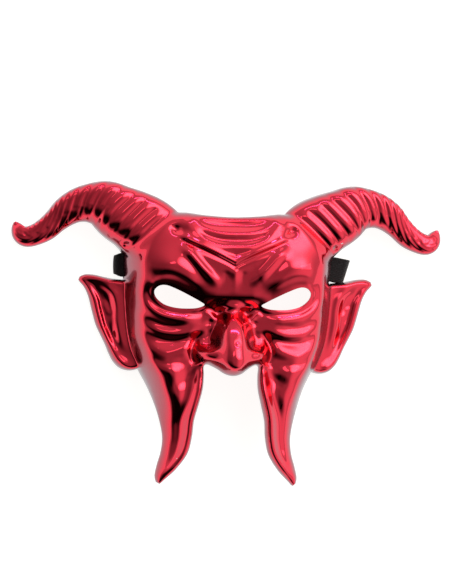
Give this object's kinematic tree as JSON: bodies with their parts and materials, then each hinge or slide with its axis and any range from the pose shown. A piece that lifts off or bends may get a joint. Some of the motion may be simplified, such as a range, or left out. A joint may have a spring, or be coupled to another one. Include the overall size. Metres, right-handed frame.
{
  "type": "horned half mask",
  "caption": "Moulded party mask of a horned devil that covers brow, eyes and cheeks, with pointed ears, curled cheek tails and an elastic strap.",
  "frame": {"origin": "middle of the mask's width and height as it lies face up, on the floor that its back rim rests on", "axes": "+X to the side of the mask seen on the right from in front, +Y from the cheek tails to the horns, +Z out of the face"},
  "size_m": [0.2878, 0.1998, 0.0678],
  "materials": {
    "metallised_red_plastic": "vacuum metallised under clear red lacquer, mirror bright",
    "black_elastic_webbing": "woven, dull"
  },
  "bodies": {
    "root": {"mask_shell": "metallised_red_plastic", "elastic_strap": "black_elastic_webbing"}
  },
  "joints": []
}
